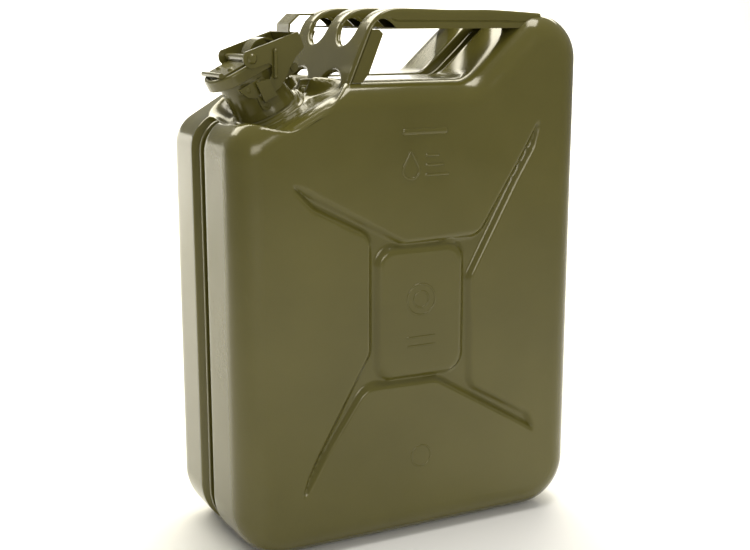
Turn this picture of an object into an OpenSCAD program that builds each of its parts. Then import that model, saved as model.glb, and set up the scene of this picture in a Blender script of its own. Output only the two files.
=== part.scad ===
// Pressed-steel 20 litre fuel can: two half shells joined by a recessed seam, a slanted filler neck with a
// cam-lever lid, and a three-bar carrying handle.
// Origin: middle of the base on the ground. +X towards the handle end, -X towards the spout, +Z up.

/* [Body] */
// Length of the body along X
body_len = 345; // [340:1:350]
// Thickness of the body across its two faces, along Y
body_deep = 165; // [160:1:170]
// Height of the flat part of the top
flat_z = 416; // [414:1:417]
// Height of the hump at the handle end
hump_z = 471; // [470:1:473]
// Sheet thickness of the two half shells
wall = 1.2; // [1:0.1:1.5]
// Radius of the edge between each face and the sides
edge_r = 25; // [22:1:26]
// Depth of the seam groove that runs round the can
groove_deep = 8; // [7:0.5:9]
// Half the width of the seam groove
groove_half = 13.8; // [12.5:0.1:14.5]
// Depth of the pressed X and ring on each face
emboss_deep = 4.5; // [2:0.5:6]

/* [Neck and lid] */
// Tilt of the mouth away from upright, in degrees
lid_tilt = 27; // [26:0.5:28]
// Outer radius of the neck
neck_r = 25.5; // [25:0.1:25.6]
// Inner radius of the mouth
mouth_r = 23.5; // [23:0.1:23.6]
// Outer radius of the lid's skirt
lid_r = 34; // [33:0.5:35]
// Height of the lid's skirt
lid_h = 10.6; // [10.4:0.1:10.8]
// Thickness of the lid's gasket
gasket_h = 2.9; // [2.6:0.1:3]

/* [Lever] */
// Distance from the middle plane to the inner face of each lever plate
plate_in = 28; // [27.9:0.1:28.2]
// Sheet thickness of the lever
plate_t = 1.8; // [1.5:0.1:1.9]
// Radius of the lever's pivot pin
pin_r = 2; // [1.8:0.1:2.2]
// Radius of the bridge rod that each hook draws against
rod_r = 2.8; // [2.4:0.1:2.9]

/* [Handle] */
// Height of the top of the handle bars
bar_top = 475; // [474:0.5:476]
// Width of each handle bar
bar_w = 22; // [20:1:24]
// Height of each handle bar
bar_h = 17.5; // [16:0.5:18]
// Distance from the middle bar to each outer bar
bar_pitch = 58; // [57:0.5:58]

/* [Hidden] */

olive = [0.37, 0.35, 0.22];
olive_light = [0.45, 0.43, 0.28];
olive_dark = [0.27, 0.25, 0.14];
rubber = [0.08, 0.08, 0.08];
eps = 0.02;
far = 400;
$fn = 64;

// ---------------------------------------------------------------------------------------------- outline

half_len = body_len / 2;
half_deep = body_deep / 2;
slope_x = 56.4;                      // where the hump's slope leaves the flat
hump_x = 117.6;                      // where the hump's slope reaches the top
flat_x = -99.6;                      // where the shoulder leaves the flat
shoulder_z = 372.9;                  // where the shoulder reaches the spout end
arc_steps = 4;

// Corners, anticlockwise: x, z, corner radius, straight pieces on the side that leads to the corner
corners = [[-half_len, 0, 48, 7], [half_len, 0, 48, 7], [half_len, hump_z, 42, 9], [hump_x, hump_z, 30, 1],
           [slope_x, flat_z, 25, 2], [flat_x, flat_z, 60, 5], [-half_len, shoulder_z, 32, 4]];

function unit(v) = v / norm(v);
function cross2(a, b) = a[0] * b[1] - a[1] * b[0];
function mix(a, b, t) = a + (b - a) * t;
function smooth(t) = let (s = min(1, max(0, t))) s * s * (3 - 2 * s);

// Points of one rounded corner. A convex corner's radius shrinks with the inset and a hollow one's grows,
// so that every inset outline is parallel to the first.
function corner_arc(a, b, c, r, inset) =
    let (u = unit(a - b), v = unit(c - b), half = acos(u * v) / 2, bis = unit(u + v),
         mid = b + bis * r / sin(half), hollow = cross2(u, v) > 0, ri = hollow ? r + inset : r - inset,
         p = b + u * r / tan(half) - mid, q = b + v * r / tan(half) - mid,
         start = atan2(p[1], p[0]), turn = (hollow ? -1 : 1) * acos((p * q) / (r * r)))
    [for (i = [0:arc_steps]) let (a = start + turn * i / arc_steps) mid + ri * [cos(a), sin(a)]];

function xz(c) = [c[0], c[1]];
function corner_at(i, inset) =
    let (n = len(corners))
    corner_arc(xz(corners[(i + n - 1) % n]), xz(corners[i]), xz(corners[(i + 1) % n]), corners[i][2], inset);

// The whole outline: each straight side in its own number of pieces, then its corner's arc
function outline(inset) =
    [for (i = [0:len(corners) - 1])
        let (n = len(corners), before = corner_at((i + n - 1) % n, inset), here = corner_at(i, inset),
             from = before[arc_steps], k = corners[i][3])
        each concat([for (j = [1:1:k - 1]) mix(from, here[0], j / k)], here)];

// ------------------------------------------------------------------------------------------ closure frame

lid_x = -128.5;                      // middle of the lid's lower edge
lid_z = 419.5;
module closure() translate([lid_x, 0, lid_z]) rotate([0, -lid_tilt, 0]) children();

function to_local(p) =
    let (x = p[0] - lid_x, z = p[2] - lid_z)
    [x * cos(lid_tilt) + z * sin(lid_tilt), p[1], z * cos(lid_tilt) - x * sin(lid_tilt)];
function to_world(q) =
    [lid_x + q[0] * cos(lid_tilt) - q[2] * sin(lid_tilt), q[1],
     lid_z + q[0] * sin(lid_tilt) + q[2] * cos(lid_tilt)];

neck_top = 6.2;                      // heights along the neck's axis, from the lid's lower edge
neck_step = -19;
neck_end = -44;
throat_r = neck_r - 1.5;             // outer radius of the neck below its step
throat_in = mouth_r - 1.5;
seat_z = -34;                        // floor of the scoop that the neck stands in
seat_flat = 31;
seat_blend = 19;
scoop_r = seat_flat + seat_blend;

// ------------------------------------------------------------------------------------------------ shells

// Pushes a point of the sheet down into the scoop around the neck. The scoop is `reach` times as wide as it
// is long: on the near shell it opens out to the face, and on the far shell it is round.
near_reach = 2.2;
far_reach = 1;
function scooped(p, inset, thick, reach) =
    let (q = to_local(p), r = norm([q[0], q[1] / reach]),
         level = seat_z + 20 * smooth((r - seat_flat) / seat_blend) - 0.25 * inset - thick)
    r < scoop_r && q[2] > level && q[2] > seat_z - 30 ? to_world([q[0], q[1], level]) : p;

// Section of the sheet from the flange to the face: [inset, y], outer side then inner side
round_steps = 4;
edge_y = -half_deep + edge_r;
in_r = edge_r - wall;
flange_in = 3;                       // the flange's edge stays this far inside the body's outline
outer_path = concat(
    [[flange_in, 0], [flange_in, -wall], [groove_deep, -wall], [groove_deep, -groove_half + 5],
     [groove_deep / 2, -groove_half + 1.5], [0.6, -groove_half - 1], [0, -groove_half - 5],
     [0, -30], [0, -44]],
    [for (i = [0:round_steps]) let (a = 90 * i / round_steps)
        [edge_r * (1 - cos(a)), edge_y - edge_r * sin(a)]]);
inner_path = concat(
    [[groove_deep + wall, 0], [groove_deep + wall, -groove_half + 4.4],
     [groove_deep / 2 + wall, -groove_half + 0.6], [wall, -groove_half - 4.6], [wall, -30], [wall, -44]],
    [for (i = [0:round_steps]) let (a = 90 * i / round_steps)
        [wall + in_r * (1 - cos(a)), edge_y - in_r * sin(a)]]);

function sheet_ring(s, thick, reach) =
    [for (p = outline(s[0])) scooped([p[0], s[1], p[1]], s[0], thick, reach)];

// The raised pad in the middle of the face, and the rings that run from it out to the edge
pad = [2, 209.5];
pad_half = [41, 56.5];
pad_corner = 14;
face_t = [0.3, 0.55, 0.72, 0.84, 0.94, 1];
arms = [136.5, 54, -46, -126];       // directions of the four arms, in degrees
arm_half = 9.5;

function turn_of(p) = atan2(p[1] - pad[1], p[0] - pad[0]);
function apart(a, b) = abs((a - b + 540) % 360 - 180);
function pad_point(a) =
    let (d = [cos(a), sin(a)], to_side = pad_half[0] / max(0.001, abs(d[0])),
         to_end = pad_half[1] / max(0.001, abs(d[1])))
    pad + d * min(to_side, to_end, norm(pad_half) - pad_corner / 2);
function arm_here(a) = max([for (b = arms) 1 - smooth((apart(a, b) - arm_half / 2) / arm_half)]);
function ring_band(t) = smooth((t - 0.55) / 0.17) * (1 - smooth((t - 0.94) / 0.06));
function arm_band(t) = t < 0.97 ? smooth((t - 0.05) / 0.25) : 0;
function pressed(a, t) = emboss_deep * max(ring_band(t), arm_here(a) * arm_band(t));
function face_ring(inset, y, t) =
    [for (p = outline(inset)) let (a = turn_of(p), q = mix(p, pad_point(a), t))
        [q[0], y + pressed(a, t), q[1]]];

function outer_rings(reach) = concat([for (s = outer_path) sheet_ring(s, 0, reach)],
                                     [for (t = face_t) face_ring(edge_r, -half_deep, t)]);
function inner_rings(reach) = concat([for (s = inner_path) sheet_ring(s, wall, reach)],
                                     [for (t = face_t) face_ring(edge_r, -half_deep + wall, t)]);

// One closed skin: outer rings, then inner rings back to the flange, and a fan on each side of the pad
function strip(n, a, b, flip) =
    [for (j = [0:n - 1]) let (k = (j + 1) % n)
        each flip ? [[a + j, a + k, b + k], [a + j, b + k, b + j]]
                  : [[a + j, b + k, a + k], [a + j, b + j, b + k]]];

module half_shell_sheet(reach) {
    outer = outer_rings(reach);
    inner = inner_rings(reach);
    n = len(outer[0]);
    no = len(outer);
    ni = len(inner);
    points = concat([for (r = outer) each r], [for (r = inner) each r],
                    [[pad[0], -half_deep, pad[1]], [pad[0], -half_deep + wall, pad[1]]]);
    mid_out = n * (no + ni);
    faces = concat(
        [for (i = [0:no - 2]) each strip(n, i * n, (i + 1) * n, false)],
        [for (i = [0:ni - 2]) each strip(n, (no + i) * n, (no + i + 1) * n, true)],
        strip(n, 0, no * n, true),
        [for (j = [0:n - 1]) [(no - 1) * n + j, mid_out, (no - 1) * n + (j + 1) % n]],
        [for (j = [0:n - 1]) [(no + ni - 1) * n + j, (no + ni - 1) * n + (j + 1) % n, mid_out + 1]]);
    polyhedron(points, faces, convexity = 10);
}

module half_shell(reach) {
    difference() {
        half_shell_sheet(reach);
        closure() translate([0, 0, neck_end - 20]) cylinder(r = throat_r, h = 40);
    }
}

module front_shell() color(olive) half_shell(near_reach);
module back_shell() color(olive) mirror([0, 1, 0]) half_shell(far_reach);

module outline_plate(inset, thick)
    rotate([90, 0, 0]) linear_extrude(thick, center = true) polygon(outline(inset));

// Rolled weld along the two flanges, left out where the scoop takes the seam under the neck. The line starts
// below the scoop, runs down the spout end and round the can, and stops above the scoop.
function in_scoop(p) = let (q = to_local([p[0], 0, p[1]])) norm([q[0], q[1]]) < scoop_r && q[2] > seat_z - 30;
open_points = [for (p = outline(0)) !in_scoop(p)];
last_hidden = max([for (i = [0:len(open_points) - 1]) if (!open_points[i]) i]);
function seam_line(inset) =
    let (o = outline(inset), n = len(o))
    [for (i = [1:n]) let (j = (last_hidden + i) % n) if (open_points[j]) o[j]];
function backwards(v) = [for (i = [len(v) - 1:-1:0]) v[i]];

bead_out = 2;
bead_in = 3;
bead_w = 3.2;
module seam_weld_bead() {
    color(olive_dark) along_y(-bead_w / 2, bead_w / 2)
        polygon(concat(seam_line(bead_out), backwards(seam_line(bead_in))));
}

// -------------------------------------------------------------------------------------------------- neck

module neck_tube() {
    color(olive_light) closure() rotate_extrude($fn = 72) polygon([
        [throat_in, neck_end], [throat_r, neck_end], [throat_r, neck_step - 4], [neck_r, neck_step],
        [neck_r, neck_top], [mouth_r, neck_top], [mouth_r, neck_step], [throat_in, neck_step - 4]]);
}

// Flared foot that is welded to the floor of the scoop
collar_r = 30;
collar_h = 7;
collar_steps = 6;
module neck_collar() {
    color(olive) closure() rotate_extrude($fn = 72) polygon(concat(
        [[throat_r, seat_z], [collar_r, seat_z], [collar_r, seat_z + 1]],
        [for (i = [1:collar_steps]) let (a = 90 * i / collar_steps)
            [collar_r - (collar_r - throat_r - 1) * sin(a), seat_z + collar_h - (collar_h - 1) * cos(a)]],
        [[throat_r, seat_z + collar_h]]));
}

// ------------------------------------------------------------------------------------- lugs on the neck

rod = [0.8, -8];                     // the bridge rod, in the closure frame
leg_in = 23;
leg_out = plate_in - 0.5;
tab_in = plate_in + plate_t + 0.7;
tab_out = tab_in + 1.8;
tongue = [-3.5, -26.5];
tongue_r = 4.6;

module along_y(y0, y1) translate([0, y1, 0]) rotate([90, 0, 0]) linear_extrude(y1 - y0) children();
// Lays an upright cylinder across the can, with its middle at (x, z)
module across(x, z) translate([x, 0, z]) rotate([90, 0, 0]) children();

// Riveted leg against the neck, bridge rod, and square outer tab
module lug() {
    difference() {
        along_y(leg_in, leg_out) {
            polygon([[-19, -4], [-4.5, -3.5], [4, -3.5], [7, -9], [7, -17], [tongue[0] + tongue_r, tongue[1]],
                     [tongue[0] - tongue_r, tongue[1]], [-8, -17.5], [-15, -13.5], [-18.5, -7]]);
            translate(tongue) circle(r = tongue_r);
        }
        translate([0, 0, neck_end]) cylinder(r = neck_r, h = 60, $fn = 72);
    }
    translate([rod[0], tab_in + eps, rod[1]]) rotate([90, 0, 0])
        cylinder(r = rod_r, h = tab_in - leg_out + 2 * eps);
    along_y(tab_in, tab_out) polygon([[-4.5, -4.6], [7.4, -7.2], [7.4, -22.6], [-5, -22.6]]);
}

module lug_near() color(olive) closure() mirror([0, 1, 0]) lug();
module lug_far() color(olive) closure() lug();

rivet_spots = [tongue, [-12, -8]];
module lug_rivets() {
    color(olive_light) closure() for (side = [0, 1], s = rivet_spots)
        mirror([0, side, 0]) translate([s[0], leg_out, s[1]]) rotate([-90, 0, 0])
            cylinder(r1 = 2.4, r2 = 1.6, h = 0.4);
}

// -------------------------------------------------------------------------------- rear hinge of the lid

hinge = [40, -15];                   // the lid's hinge axis, in the closure frame
hinge_pin_r = 2;
hinge_gap = 0.06;
ear_in = 7;
ear_out = 9.5;
pin_reach = 11;

module hinge_bracket() {
    color(olive) closure() {
        for (side = [0, 1]) mirror([0, side, 0]) along_y(ear_in, ear_out) difference() {
            union() {
                polygon([[neck_r - 4, -8], [30, -8], [hinge[0], hinge[1] + 4.5], [hinge[0], hinge[1] - 4.5],
                         [30, -19.5], [neck_r - 4, -18.5]]);
                translate(hinge) circle(r = 4.5);
            }
            translate(hinge) circle(r = hinge_pin_r);
            square([2 * sqrt(neck_r * neck_r - 81) - 0.2, 80], center = true);
        }
        difference() {
            translate([neck_r - 3, -ear_in, -18.5]) cube([4.6, 2 * ear_in, 10.5]);
            translate([0, 0, neck_end]) cylinder(r = neck_r, h = 60, $fn = 72);
        }
    }
}

module hinge_pin() {
    color(olive_light) closure() translate([hinge[0], 0, hinge[1]]) rotate([90, 0, 0]) {
        cylinder(r = hinge_pin_r, h = 2 * pin_reach, center = true);
        for (side = [0, 1]) mirror([0, 0, side]) translate([0, 0, ear_out])
            cylinder(r = 3.2, h = pin_reach - ear_out);
    }
}

// ------------------------------------------------------------------------------------------ breather tube

tube_r = 5;
tube_in = 4;
bend_r = 16;                         // radius of the tube's bends, at its middle line
route = [to_world([throat_in - tube_r, 0, neck_step - 6]), to_world([throat_in - tube_r, 0, -58]),
         [62, 0, 392], [128, 0, 440]];

function way(i) = unit(route[i + 1] - route[i]);
function heading(i) = atan2(way(i)[2], way(i)[0]);
function left_of(a) = [-sin(a), 0, cos(a)];
bend_steps = 5;
tube_sides = 16;

// Each station of the tube: a point of its middle line, and the heading there. Every bend turns left.
function bend(i) =
    let (a = heading(i - 1), b = heading(i),
         mid = route[i] + way(i) * bend_r * tan((b - a) / 2) + left_of(b) * bend_r)
    [for (k = [0:bend_steps]) let (h = mix(a, b, k / bend_steps)) [mid - left_of(h) * bend_r, h]];
stations = concat([[route[0], heading(0)]], [for (i = [1:len(route) - 2]) each bend(i)],
                  [[route[len(route) - 1], heading(len(route) - 2)]]);
function tube_ring(s, r) =
    [for (k = [0:tube_sides - 1]) let (f = 360 * k / tube_sides)
        s[0] + r * (cos(f) * left_of(s[1]) + [0, sin(f), 0])];

module breather_tube() {
    n = tube_sides;
    ns = len(stations);
    points = [for (r = [tube_r, tube_in], s = stations) each tube_ring(s, r)];
    faces = concat(
        [for (i = [0:ns - 2]) each strip(n, i * n, (i + 1) * n, true)],
        [for (i = [0:ns - 2]) each strip(n, (ns + i) * n, (ns + i + 1) * n, false)],
        strip(n, 0, ns * n, false),
        strip(n, (ns - 1) * n, (2 * ns - 1) * n, true));
    color(olive_dark) polyhedron(points, faces, convexity = 10);
}

// Strap that hangs the tube from the seam flanges under the flat
clip_x = -10;
clip_half = 6;
clip_t = 1.2;
clip_z = mix(route[1], route[2], (clip_x - route[1][0]) / (route[2][0] - route[1][0]))[2];
clip_top = flat_z - groove_deep - wall;
module breather_clip() {
    color(olive_dark) difference() {
        translate([clip_x - clip_half, -tube_r - clip_t, clip_z])
            cube([2 * clip_half, 2 * (tube_r + clip_t), clip_top - clip_z]);
        translate([clip_x - clip_half - 1, -tube_r, clip_z - 1])
            cube([2 * clip_half + 2, 2 * tube_r, clip_top - clip_t - clip_z + 1]);
        translate([clip_x, 0, clip_z]) rotate([0, 90 - heading(1), 0])
            cylinder(r = tube_r, h = far, center = true);
    }
}

// -------------------------------------------------------------------------------------- carrying handle

saddle_foot = [-66, 406];            // the saddle's sheet starts here and leans back to the bars
saddle_knee = [-36, bar_top];
knee_r = 32;
sheet_t = 1.6;
knee_steps = 8;
lean = unit(saddle_knee - saddle_foot);
lean_angle = atan2(lean[1], lean[0]);
knee_mid = [saddle_knee[0] + knee_r * tan(lean_angle / 2), bar_top - knee_r];

// Outer line of the bend from the saddle's sheet to the bar's top, set in by d, between two angles
function knee(d, a0, a1) = [for (i = [0:knee_steps]) let (a = mix(a0, a1, i / knee_steps))
    knee_mid + (knee_r - d) * [cos(a), sin(a)]];
knee_start = 90 + lean_angle;
lean_in = [lean[1], -lean[0]];
saddle_w = bar_pitch + bar_w / 2;
prong_gap_y = bar_pitch / 2;
prong_gap_r = (bar_pitch - bar_w) / 2;

module saddle_strip(y0, y1) {
    along_y(y0, y1) polygon(concat([saddle_foot], knee(0, knee_start, 90), knee(sheet_t, 90, knee_start),
                                   [saddle_foot + lean_in * sheet_t]));
}

module handle_saddle() {
    cut_z = 446 + prong_gap_r;
    color(olive) difference() {
        saddle_strip(-saddle_w, saddle_w);
        for (side = [-1, 1]) translate([0, side * prong_gap_y, 0]) {
            translate([0, 0, cut_z]) rotate([0, -90, 0]) cylinder(r = prong_gap_r, h = far, center = true);
            translate([-far / 2, -prong_gap_r, cut_z]) cube([far, 2 * prong_gap_r, far]);
            translate([0, 2, 403]) rotate([0, -90, 0]) cylinder(r = 17, h = far, center = true);
        }
    }
}

gusset_top = 457.3;
module saddle_gusset() {
    low = flat_z - 3;
    front = function (z) saddle_foot[0] + (z - saddle_foot[1]) / tan(lean_angle) + sheet_t / sin(lean_angle);
    along_y(saddle_w - sheet_t, saddle_w)
        polygon([[front(low), low], [-49.6, low], [-43, 420], [-29.2, 453.7], [-33, gusset_top],
                 [front(gusset_top), gusset_top]]);
}
module saddle_gusset_near() color(olive) mirror([0, 1, 0]) saddle_gusset();
module saddle_gusset_far() color(olive) saddle_gusset();

bar_from = -37;
bar_to = 132;                        // the bars run into the hump's slope before they get here
bar_low = bar_top - bar_h;
cheek = 1.4;
crown_r = 8;

module bar_side(d) {
    polygon(concat([[bar_from + d, bar_low - d], [bar_to, bar_low - d], [bar_to, hump_z - 0.5 - d],
                    [70, bar_top - sheet_t - d], [knee_mid[0], bar_top - sheet_t - d]],
                   [for (p = knee(sheet_t + d, 90, knee_start)) if (p[0] > bar_from + d + 0.5) p]));
}
module bar_section(w, top, r) {
    translate([-w / 2, 0]) square([w, top - r]);
    translate([-w / 2 + r, 0]) square([w - 2 * r, top]);
    for (s = [-1, 1]) translate([s * (w / 2 - r), top - r]) circle(r = r);
}
// The bar's outer form, or its hollow with d as the thickness of the sheet
module bar_form(d) intersection() {
    along_y(-bar_w / 2 + d, bar_w / 2 - d) bar_side(d);
    translate([bar_from - 5, 0, 0]) rotate([90, 0, 90]) linear_extrude(bar_to - bar_from + 10)
        bar_section(bar_w - 2 * d, bar_top - sheet_t - d, crown_r - d);
}
module handle_bar(y, inset) translate([0, y, 0]) difference() {
    bar_form(0);
    bar_form(cheek);
    outline_plate(inset, 2 * bar_w);
}
module handle_bar_near() color(olive) handle_bar(-bar_pitch, 0);
module handle_bar_middle() color(olive) handle_bar(0, groove_deep);
module handle_bar_far() color(olive) handle_bar(bar_pitch, 0);

// Strip that closes the open underside of a bar
module handle_liner(y, inset) {
    difference() {
        translate([bar_from + 2 * cheek, y - bar_w / 2 + cheek, bar_low])
            cube([bar_to - bar_from - 2 * cheek, bar_w - 2 * cheek, cheek]);
        translate([0, y, 0]) outline_plate(inset, 2 * bar_w);
    }
}
module handle_liner_near() color(olive_dark) handle_liner(-bar_pitch, 0);
module handle_liner_middle() color(olive_dark) handle_liner(0, groove_deep);
module handle_liner_far() color(olive_dark) handle_liner(bar_pitch, 0);

// ---------------------------------------------------------------------------------------------------- lid

lid_flat = 27.4;                     // the skirt is flattened where it passes between the lever plates
lid_wall = 1.2;
lid_round = 3;

module flattened(r, half) intersection() {
    children();
    translate([-r - 1, -half, -50]) cube([2 * r + 2, 2 * half, 100]);
}

module lid_cap() {
    color(olive_light) closure() difference() {
        flattened(lid_r, lid_flat) rotate_extrude($fn = 72) polygon(concat(
            [[0, 0], [lid_r, 0]],
            [for (i = [0:4]) let (a = 90 * i / 4)
                [lid_r - lid_round * (1 - cos(a)), lid_h - lid_round * (1 - sin(a))]],
            [[0, lid_h]]));
        flattened(lid_r, lid_flat - lid_wall) translate([0, 0, -1])
            cylinder(r = lid_r - lid_wall, h = lid_h - lid_wall + 1, $fn = 72);
    }
}

gasket_top = lid_h - lid_wall;
module lid_gasket() {
    color(rubber) closure() translate([0, 0, gasket_top - gasket_h]) difference() {
        cylinder(r = neck_r + 0.4, h = gasket_h, $fn = 72);
        translate([0, 0, -1]) cylinder(r = mouth_r - 3, h = gasket_h + 2, $fn = 72);
    }
}

dish_r = mouth_r - 3;
dish_low = gasket_top - gasket_h + 0.1;
dish_t = 1;
dish_boss = 3;
module gasket_retainer() {
    color(olive_dark) closure() rotate_extrude($fn = 72) polygon([
        [0, dish_low], [dish_r - dish_t, dish_low], [dish_r, dish_low + dish_t], [dish_r, gasket_top],
        [dish_r - dish_t, gasket_top], [dish_r - dish_t, dish_low + 1.6 * dish_t],
        [dish_r - 2 * dish_t, dish_low + dish_t], [dish_boss, dish_low + dish_t], [dish_boss, gasket_top],
        [0, gasket_top]]);
}

pivot = [2.6, 14.2];                 // the lever's pivot on the lid, in the closure frame
knuckle_r = pin_r + 1.3;
knuckle_len = 52;
arm_t = 1.6;
arm_w = 18;
lip_x = -26;                         // front edge of the arm's plate, rolled into a lip
lip_r = 2.2;
plate_w = 44;
strap_mid = [22, 6];                 // middle of the arch that carries the arm over the back of the lid
strap_r = 15.5;
eye_r = 4.4;                         // eye at the arm's end, round the rear hinge pin
eye_half = ear_in - 0.4;             // the arm narrows to pass between the hinge's ears

// Sheet arm on the lid: front lip, knuckle round the pivot pin, then an arch over to the rear hinge
module lid_arm() {
    color(olive) closure() difference() {
        union() {
            translate([lip_x, -plate_w / 2, lid_h]) cube([pivot[0] - lip_x, plate_w, arm_t]);
            across(lip_x, lid_h + lip_r) cylinder(r = lip_r, h = plate_w, center = true, $fn = 32);
            across(pivot[0], pivot[1]) cylinder(r = knuckle_r, h = knuckle_len, center = true, $fn = 48);
            along_y(-arm_w / 2, arm_w / 2) {
                translate([2, lid_h]) square([6, arm_t]);
                difference() {
                    translate(strap_mid) circle(r = strap_r);
                    translate(strap_mid) circle(r = strap_r - arm_t);
                    translate([-50, -50]) square([100, 50 + lid_h]);
                }
            }
            along_y(-eye_half, eye_half) polygon([[36, lid_h], [37.6, lid_h], [44.4, hinge[1]], [42.6, hinge[1]]]);
            across(hinge[0], hinge[1]) cylinder(r = eye_r, h = 2 * eye_half, center = true, $fn = 48);
        }
        across(pivot[0], pivot[1]) cylinder(r = pin_r, h = far, center = true, $fn = 48);
        across(hinge[0], hinge[1]) cylinder(r = hinge_pin_r + hinge_gap, h = far, center = true, $fn = 48);
    }
}

module arm_rivets() {
    spot = 14;
    color(olive_light) closure() for (y = [-spot, spot])
        translate([-spot, y, lid_h + arm_t]) cylinder(r1 = 3.2, r2 = 2, h = 1.4, $fn = 32);
}

module lever_pin() {
    head_y = plate_in + plate_t + 0.15;
    color(olive_light) closure() across(pivot[0], pivot[1]) {
        cylinder(r = pin_r, h = 2 * head_y + 1, center = true, $fn = 48);
        for (side = [0, 1]) mirror([0, 0, side]) translate([0, 0, head_y])
            cylinder(r1 = 4.5, r2 = 3, h = 2, $fn = 48);
    }
}

// -------------------------------------------------------------------------------------------------- lever

nose_r = 8.2;
notch = [12.2, 0.6];
notch_r = 3.6;
hook_tip = [-6.2, -16.4];
arc_n = 8;

// Outline of a side plate: rounded nose round the pivot, notch over the bridge rod, hook, and tail
plate_line = concat(
    [for (i = [0:arc_n]) let (a = mix(110, 268, i / arc_n)) pivot + nose_r * [cos(a), sin(a)]],
    [for (i = [0:arc_n]) let (a = mix(90, -20, i / arc_n)) notch + notch_r * [cos(a), sin(a)]],
    [[12.3, -6.3], [5.2, -9.8], hook_tip, [-4, -19.2], [4, -20.6], [14.5, -18.9], [22, -14.5], [29.3, -8.8],
     [38, -3.4], [49.2, 0.5], [50.4, 10.4], [50.1, 14.8]]);

web_in = 1.8;
web_foot = [49.2, 0.5];
web_head = [50.1, 14.8];
wire_hole = [23.6, 10.8];
wire_r = 1.5;
wire_gap = 0.1;
pin_gap = 0.08;
tab_half = 13;

module lever_yoke() {
    reach = plate_in + plate_t;
    color(olive_light) closure() {
        difference() {
            for (side = [0, 1]) mirror([0, side, 0]) along_y(plate_in, reach) polygon(plate_line);
            across(pivot[0], pivot[1]) cylinder(r = pin_r + pin_gap, h = far, center = true, $fn = 48);
            across(wire_hole[0], wire_hole[1])
                cylinder(r = wire_r + wire_gap, h = far, center = true, $fn = 32);
        }
        // Rear web between the plates, and the thumb tab that rises from it
        along_y(-plate_in, plate_in)
            polygon([web_foot, web_head, web_head - [web_in, 0], web_foot - [web_in, 0]]);
        along_y(-tab_half, tab_half)
            polygon([web_head - [web_in, 0], web_head, [53.4, 19.6], [64, 22.4], [76.6, 16.2],
                     [77.4, 17.8], [64.2, 24.2], [52.2, 21]]);
        for (side = [0, 1]) mirror([0, side, 0])
            along_y(plate_in - 1.2, plate_in + eps) polygon([[20, 17.2], [49, 14.6], [49, 13.2], [20, 15.8]]);
    }
}

// Bent wire that hangs in the near lever plate's hole, kept in by a flat head on the inner side
wire_y = plate_in + plate_t + 0.7 + wire_r;
wire_len = 21.5;
wire_head_y = plate_in - 1;
wire_head = 1.5;
elbow_r = wire_r + 0.25;
end_r = wire_r + 0.4;
module safety_wire() {
    bend = [wire_hole[0], -wire_y, wire_hole[1]];
    foot = to_world(bend);
    color(olive_light) {
        closure() translate(bend) rotate([-90, 0, 0])
            cylinder(r = wire_r, h = wire_y - wire_head_y + wire_head, $fn = 32);
        closure() translate([wire_hole[0], -wire_head_y, wire_hole[1]]) rotate([-90, 0, 0])
            cylinder(r = wire_r + 1, h = wire_head, $fn = 32);
        translate(foot) sphere(r = elbow_r, $fn = 32);
        translate(foot - [0, 0, wire_len]) cylinder(r = wire_r, h = wire_len, $fn = 32);
        translate(foot - [0, 0, wire_len]) sphere(r = end_r, $fn = 32);
    }
}

front_shell();
back_shell();
seam_weld_bead();
neck_tube();
neck_collar();
lug_near();
lug_far();
lug_rivets();
hinge_bracket();
hinge_pin();
breather_tube();
breather_clip();
handle_saddle();
saddle_gusset_near();
saddle_gusset_far();
handle_bar_near();
handle_bar_middle();
handle_bar_far();
handle_liner_near();
handle_liner_middle();
handle_liner_far();
lid_cap();
lid_gasket();
gasket_retainer();
lid_arm();
arm_rivets();
lever_pin();
lever_yoke();
safety_wire();
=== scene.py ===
"""Looks for a pressed-steel 20 litre fuel can: two half shells with a recessed seam and a pressed X on each
face, a slanted filler neck with a cam-lever lid, and a three-bar carrying handle.

Lengths are in millimetres until a mesh is written. The floor, lights and camera are in metres. The frame is
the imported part's own: +X towards the handle end, -X towards the spout, -Y the near face, +Z up. The closure
(neck, lid, lever) is described in its own frame: u along the lid towards the handle, v across the can, n out
of the mouth.
"""
import math

import bmesh
import bpy
import numpy as np
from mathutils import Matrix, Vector
from mathutils.geometry import delaunay_2d_cdt

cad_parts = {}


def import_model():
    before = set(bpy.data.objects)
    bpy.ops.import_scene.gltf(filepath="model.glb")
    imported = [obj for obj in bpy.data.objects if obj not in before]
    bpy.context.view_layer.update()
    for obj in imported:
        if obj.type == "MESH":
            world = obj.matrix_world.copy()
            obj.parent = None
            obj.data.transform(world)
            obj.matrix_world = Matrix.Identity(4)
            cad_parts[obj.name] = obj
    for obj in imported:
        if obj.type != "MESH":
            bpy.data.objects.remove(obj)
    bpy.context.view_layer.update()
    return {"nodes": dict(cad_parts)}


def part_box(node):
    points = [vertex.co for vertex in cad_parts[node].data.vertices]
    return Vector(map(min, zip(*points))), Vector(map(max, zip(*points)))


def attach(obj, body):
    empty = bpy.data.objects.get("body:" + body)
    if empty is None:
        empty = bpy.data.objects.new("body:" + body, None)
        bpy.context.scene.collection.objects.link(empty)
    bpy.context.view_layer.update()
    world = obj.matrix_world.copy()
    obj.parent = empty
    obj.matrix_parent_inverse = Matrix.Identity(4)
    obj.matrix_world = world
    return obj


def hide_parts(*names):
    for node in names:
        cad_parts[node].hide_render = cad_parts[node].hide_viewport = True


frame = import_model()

MM = 0.001
MM_PER_M = 1000

# ------------------------------------------------------------------------------------------ sizes and places

# The tank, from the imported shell
shell_lo, shell_hi = (v * MM_PER_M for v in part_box("front_shell"))
HALF_LEN = (shell_hi.x - shell_lo.x) / 2
HALF_DEEP = -shell_lo.y
HUMP_Z = shell_hi.z

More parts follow.
